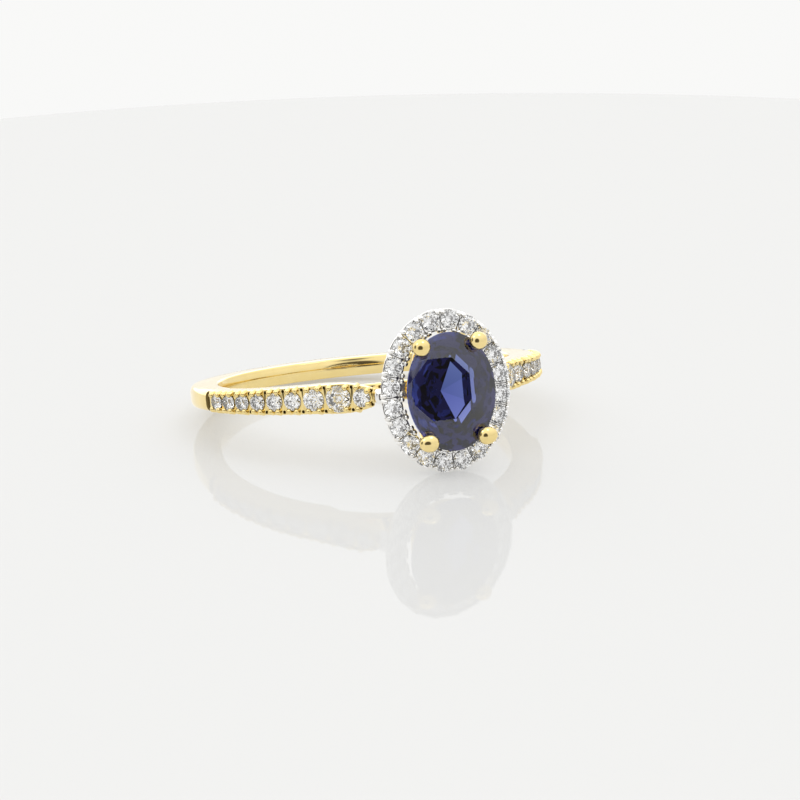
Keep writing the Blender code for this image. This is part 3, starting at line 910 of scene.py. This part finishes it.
def shoe(side):
    """A rounded block that joins the rail to one shoulder tip."""
    body = bmesh.new()
    bmesh.ops.create_cube(body, size=1.0)
    bmesh.ops.scale(body, vec=SHOE_SIZE, verts=body.verts)
    angle = side * SHOE_ANGLE
    place = Matrix.Translation(on_circle(angle, SHOE_HEIGHT)) @ Matrix.Rotation(angle, 4, "Z")
    bmesh.ops.transform(body, matrix=place, verts=body.verts)
    bmesh.ops.bevel(body, geom=body.edges[:], offset=SHOE_ROUND, segments=SHOE_STEPS,
                    affect="EDGES", profile=0.5)
    return new_object("shoe", mesh_from("shoe", body))


def build_gallery(white):
    """The white rail under the halo with a shoe at each shoulder tip."""
    outer = GALLERY_MIDDLE + GALLERY_HALF_WALL
    inner = GALLERY_MIDDLE - GALLERY_HALF_WALL
    top = HALO_BACK - GALLERY_GAP
    corners = [(outer, top), (outer, GALLERY_BACK), (inner, GALLERY_BACK), (inner, top)]
    rail = oval_band("white_gallery", rounded_profile(corners, HALO_ROUND))
    gallery = new_object("white_gallery", rail, white)
    for side in SIDES.values():
        boolean(gallery, shoe(side), "UNION")
    shade(gallery)
    finish_piece(gallery, "white_gold", "halo_gallery")


# Sapphire

def stone_ring(centre, half_width, half_length, count, first, height):
    """Corners of one tier of the sapphire; height is a function of the place across."""
    ring = []
    for step in range(count):
        turn = 2 * math.pi * (step + first) / count
        x = centre + half_width * math.cos(turn)
        ring.append(Vector((x, half_length * math.sin(turn), height(x))))
    return ring


def table_height(x):
    """Height of the sloping table at a place across."""
    centre, _, _, height = SAPPHIRE_TABLE
    return height + SAPPHIRE_TABLE_SLOPE * (x - centre)


def crown_ring(girdle_width, girdle_length):
    """Corners of the crown between table and girdle, a little proud of a straight line."""
    centre, half_width, half_length, _ = SAPPHIRE_TABLE
    ring = []
    for turn in turns(TABLE_SIDES):
        table = Vector((centre + half_width * math.cos(turn), half_length * math.sin(turn), 0))
        table += Vector((0, SAPPHIRE_TABLE_RISE, table_height(table.x)))
        edge = Vector((girdle_width * math.cos(turn), girdle_length * math.sin(turn), 0))
        ring.append(table.lerp(edge, SAPPHIRE_CROWN_SHARE) + Vector((0, 0, SAPPHIRE_CROWN_BULGE)))
    return ring


def sapphire_mesh(name, clearance=0.0):
    """A hull over the corners of the sapphire's tiers, larger all round by a share where asked."""
    girdle_width, girdle_length, half_girdle = SAPPHIRE_GIRDLE
    centre, half_width, half_length, _ = SAPPHIRE_TABLE
    to_corner = 1 / math.cos(math.pi / TABLE_SIDES)
    width, length = half_width * to_corner, half_length * to_corner
    corners = stone_ring(centre, width, length, TABLE_SIDES, 0.5, table_height)
    for corner in corners:
        corner.y += SAPPHIRE_TABLE_RISE
    corners += crown_ring(girdle_width, girdle_length)
    for level in (half_girdle, -half_girdle):
        corners += stone_ring(0, girdle_width, girdle_length, SAPPHIRE_SIDES, 0, lambda x: level)
    for across, width, length, depth, count, first in SAPPHIRE_TIERS:
        corners += stone_ring(across * MM, width * MM, length * MM, count, first, lambda x: depth * MM)
    corners.append(Vector((SAPPHIRE_CULET[0], 0, SAPPHIRE_CULET[1])))
    body = bmesh.new()
    for corner in corners:
        corner *= 1 + clearance
        body.verts.new(at_height(corner.x, SAPPHIRE_HEIGHT + corner.z, corner.y))
    hull = bmesh.ops.convex_hull(body, input=body.verts)
    spare = [part for part in hull["geom_interior"] if isinstance(part, bmesh.types.BMVert)]
    bmesh.ops.delete(body, geom=spare, context="VERTS")
    return mesh_from(name, body)


def build_sapphire(blue):
    """The faceted sapphire."""
    stone = new_object("oval_sapphire", sapphire_mesh("oval_sapphire"), blue)
    finish_piece(stone, "sapphire", "centre_sapphire")


# Basket

def add_tube(body, points, radii, closed, sides=20):
    """A round tube of changing radius along a path."""
    rings = []
    count = len(points)
    for index, point in enumerate(points):
        before = points[index - 1] if closed or index else point
        after = points[(index + 1) % count] if closed or index < count - 1 else point
        along = (after - before).normalized()
        place = frame_at(point, along, Vector((0, 1, 0)) if abs(along.y) < 0.9 else Vector((1, 0, 0)))
        ring = [Vector((math.cos(turn), math.sin(turn), 0)) * radii[index] for turn in turns(sides)]
        rings.append([place @ spot for spot in ring])
    add_loft(body, rings, closed)


def eased_path(controls, count=24):
    """Points and radii on a smooth curve through control rows of four numbers."""
    rows = [controls[0]] + controls + [controls[-1]]
    points = []
    for index in range(1, len(rows) - 2):
        for step in range(count):
            points.append(curve_row(rows[index - 1:index + 3], step / count))
    points.append(Vector(controls[-1]))
    return points


def curve_row(rows, share):
    """One Catmull-Rom row between the middle two of four."""
    first, second, third, fourth = [Vector(row) for row in rows]
    slope = (third - first) / 2
    after = (fourth - second) / 2
    square, cube = share ** 2, share ** 3
    return (second * (2 * cube - 3 * square + 1) + slope * (cube - 2 * square + share)
            + third * (3 * square - 2 * cube) + after * (cube - square))


def claw_bead(side, end):
    """The polished tip of one claw, a dome that leans on the sapphire."""
    body = bmesh.new()
    bmesh.ops.create_uvsphere(body, u_segments=40, v_segments=24, radius=BEAD_RADIUS)
    bmesh.ops.rotate(body, matrix=Matrix.Rotation(math.pi / 2, 3, "X"), verts=body.verts)
    bmesh.ops.scale(body, vec=(1, BEAD_FLATNESS, 1), verts=body.verts)
    for vertex in body.verts:
        if vertex.co.x * side > 0:
            vertex.co.x *= BEAD_STRETCH[end]
    centre = at_height(side * BEAD_CENTRE.x, BEAD_CENTRE.z, end * BEAD_CENTRE.y)
    bmesh.ops.translate(body, vec=centre, verts=body.verts)
    return new_object("claw_tip", mesh_from("claw_tip", body))


def build_basket(gold):
    """The gold basket: three oval rails and four claws that thicken towards their tips."""
    basket = None
    for half_width, half_length, height, radius in BASKET_RAILS:
        body = bmesh.new()
        points = oval(half_width * MM, half_length * MM, height * MM, RAIL_STEPS)
        add_tube(body, points, [radius * MM] * len(points), closed=True)
        rail = new_object("gold_basket", mesh_from("gold_basket", body), gold)
        if basket:
            boolean(basket, rail, "UNION")
        else:
            basket = rail
    rows = eased_path(CLAW_PATH)
    for side in (-1, 1):
        for end in (-1, 1):
            body = bmesh.new()
            points = [at_height(side * row[0] * MM, row[2] * MM, end * row[1] * MM) for row in rows]
            add_tube(body, points, [row[3] * MM for row in rows], closed=False)
            boolean(basket, new_object("claw", mesh_from("claw", body)), "UNION")
            boolean(basket, claw_bead(side, end), "UNION")
    boolean(basket, new_object("notch", sapphire_mesh("notch", SAPPHIRE_NOTCH)), "DIFFERENCE")
    shade(basket, ROUND_SHARP)
    finish_piece(basket, "yellow_gold", "centre_basket")


# Stage

def floor_place():
    """Where the floor meets the shank's back edge, as (y, z), and its tilt up to the halo's rim."""
    halo_low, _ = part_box("halo_frame")
    front = Vector((halo_low.y, halo_low.z))
    back = Vector((SHANK_HIGH.y, -BAND_WIDTH / 2))
    tilt = math.atan2(back.y - front.y, back.x - front.x)
    return back, tilt


def build_floor():
    """A round pale table under the ring, which leans on its halo."""
    back, tilt = floor_place()
    body = bmesh.new()
    top = -FLOOR_DROP
    profile = [(FLOOR_HUB, top), (FLOOR_RADIUS - FLOOR_EDGE, top)]
    for step in range(1, 7):
        turn = math.radians(90 - 15 * step)
        level = top - FLOOR_EDGE * (1 - math.sin(turn))
        profile.append((FLOOR_RADIUS - FLOOR_EDGE * (1 - math.cos(turn)), level))
    profile.append((FLOOR_RADIUS, -FLOOR_THICKNESS))
    place = Matrix.Translation((0, back.x, back.y)) @ Matrix.Rotation(tilt, 4, "X")
    add_turned(body, profile, FLOOR_SIDES, place @ Matrix.Translation((*FLOOR_CENTRE, 0)))
    new_object("floor", mesh_from("floor", body), floor_finish())


def build_camera():
    """The camera, in front of the head, a little to its left and above."""
    back = towards(CAMERA_AZIMUTH, CAMERA_ELEVATION)
    right = UPWARD.cross(back).normalized()
    up = back.cross(right)
    turned_right = right * math.cos(CAMERA_ROLL) + up * math.sin(CAMERA_ROLL)
    turned_up = up * math.cos(CAMERA_ROLL) - right * math.sin(CAMERA_ROLL)
    data = bpy.data.cameras.new("camera")
    data.lens = CAMERA_LENS
    data.sensor_width = 36.0
    data.shift_x, data.shift_y = CAMERA_SHIFT
    data.clip_start = 0.01
    camera = bpy.data.objects.new("camera", data)
    place = Matrix((turned_right, turned_up, back)).transposed().to_4x4()
    camera.matrix_world = Matrix.Translation(at_height(0, 0) + back * CAMERA_DISTANCE) @ place
    bpy.context.scene.collection.objects.link(camera)
    bpy.context.scene.camera = camera


def towards(azimuth, elevation):
    """A direction from the ring: azimuth 0 is in front of the head, 90 to its right."""
    turn, rise = math.radians(azimuth), math.radians(elevation)
    return Vector((math.sin(turn) * math.cos(rise), -math.cos(turn) * math.cos(rise), math.sin(rise)))


def add_patch(nodes, links, direction, centre, inner, outer, colour, sky):
    """Blend a round patch of light or dark, with a soft rim, over the sky."""
    dot = nodes.new("ShaderNodeVectorMath")
    dot.operation = "DOT_PRODUCT"
    dot.inputs[1].default_value = centre
    links.new(direction, dot.inputs[0])
    rim = nodes.new("ShaderNodeMapRange")
    rim.interpolation_type = "SMOOTHSTEP"
    rim.inputs["From Min"].default_value = math.cos(math.radians(outer))
    rim.inputs["From Max"].default_value = math.cos(math.radians(inner))
    links.new(dot.outputs["Value"], rim.inputs["Value"])
    mix = nodes.new("ShaderNodeMix")
    mix.data_type = "RGBA"
    links.new(rim.outputs["Result"], mix.inputs["Factor"])
    links.new(sky, mix.inputs["A"])
    mix.inputs["B"].default_value = (*colour, 1)
    return mix.outputs["Result"]


def build_world():
    """A bright studio: a pale sky for the eye, and a patterned one for reflections."""
    world = bpy.data.worlds.new("studio")
    world.use_nodes = True
    nodes, links = world.node_tree.nodes, world.node_tree.links
    shown = nodes["Background"]
    shown.inputs["Color"].default_value = (*SKY_SEEN, 1)
    direction = nodes.new("ShaderNodeTexCoord").outputs["Generated"]
    split = nodes.new("ShaderNodeSeparateXYZ")
    links.new(direction, split.inputs["Vector"])
    ramp = nodes.new("ShaderNodeValToRGB")
    ramp.color_ramp.elements[0].position = 0.0
    ramp.color_ramp.elements[0].color = (SKY_LOW, SKY_LOW, SKY_LOW, 1)
    ramp.color_ramp.elements[1].position = 1.0
    ramp.color_ramp.elements[1].color = (*(SKY_HIGH * part for part in SKY_HIGH_TINT), 1)
    links.new(split.outputs["Z"], ramp.inputs["Fac"])
    sky = ramp.outputs["Color"]
    for azimuth, elevation, inner, outer, colour in SKY_PATCHES:
        sky = add_patch(nodes, links, direction, towards(azimuth, elevation), inner, outer, colour, sky)
    lit = nodes.new("ShaderNodeBackground")
    links.new(sky, lit.inputs["Color"])
    seen = nodes.new("ShaderNodeLightPath").outputs["Is Camera Ray"]
    studio = mix_shaders(nodes, links, seen, lit.outputs["Background"], shown.outputs["Background"])
    links.new(studio, nodes["World Output"].inputs["Surface"])
    bpy.context.scene.world = world


def build_studio():
    """World, camera and the way colours are shown."""
    build_camera()
    build_world()
    bpy.context.scene.view_settings.view_transform = "Standard"


def dress_diamonds():
    """Give every CAD diamond its clear material."""
    clear = gem("cut_diamond", DIAMOND, DIAMOND_IOR, DIAMOND_PAINTED_GLOW)
    for name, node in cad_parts.items():
        if "diamond" in name:
            node.data.materials.clear()
            node.data.materials.append(clear)


def build():
    """Finish every piece of the ring and the set around it."""
    gold = metal("polished_yellow_gold", YELLOW_GOLD, POLISHED)
    white = metal("polished_white_gold", WHITE_GOLD, POLISHED)
    # Painted shade: dark, rougher copies of both golds for the notches and cuts
    shaded_gold = metal("recess_shade_yellow_gold", PAINTED_SHADE_YELLOW_GOLD, UNPOLISHED)
    shaded_white = metal("recess_shade_white_gold", PAINTED_SHADE_WHITE_GOLD, UNPOLISHED)
    blue = gem("cut_sapphire", SAPPHIRE, SAPPHIRE_IOR, 0.0)
    deepen(blue, SAPPHIRE_DEEP, SAPPHIRE_DENSITY)
    mirror_pavilion(blue)
    dress_diamonds()
    build_shank(gold, shaded_gold)
    build_halo(white, shaded_white)
    build_gallery(white)
    build_basket(gold)
    build_sapphire(blue)
    build_floor()
    build_studio()


build()
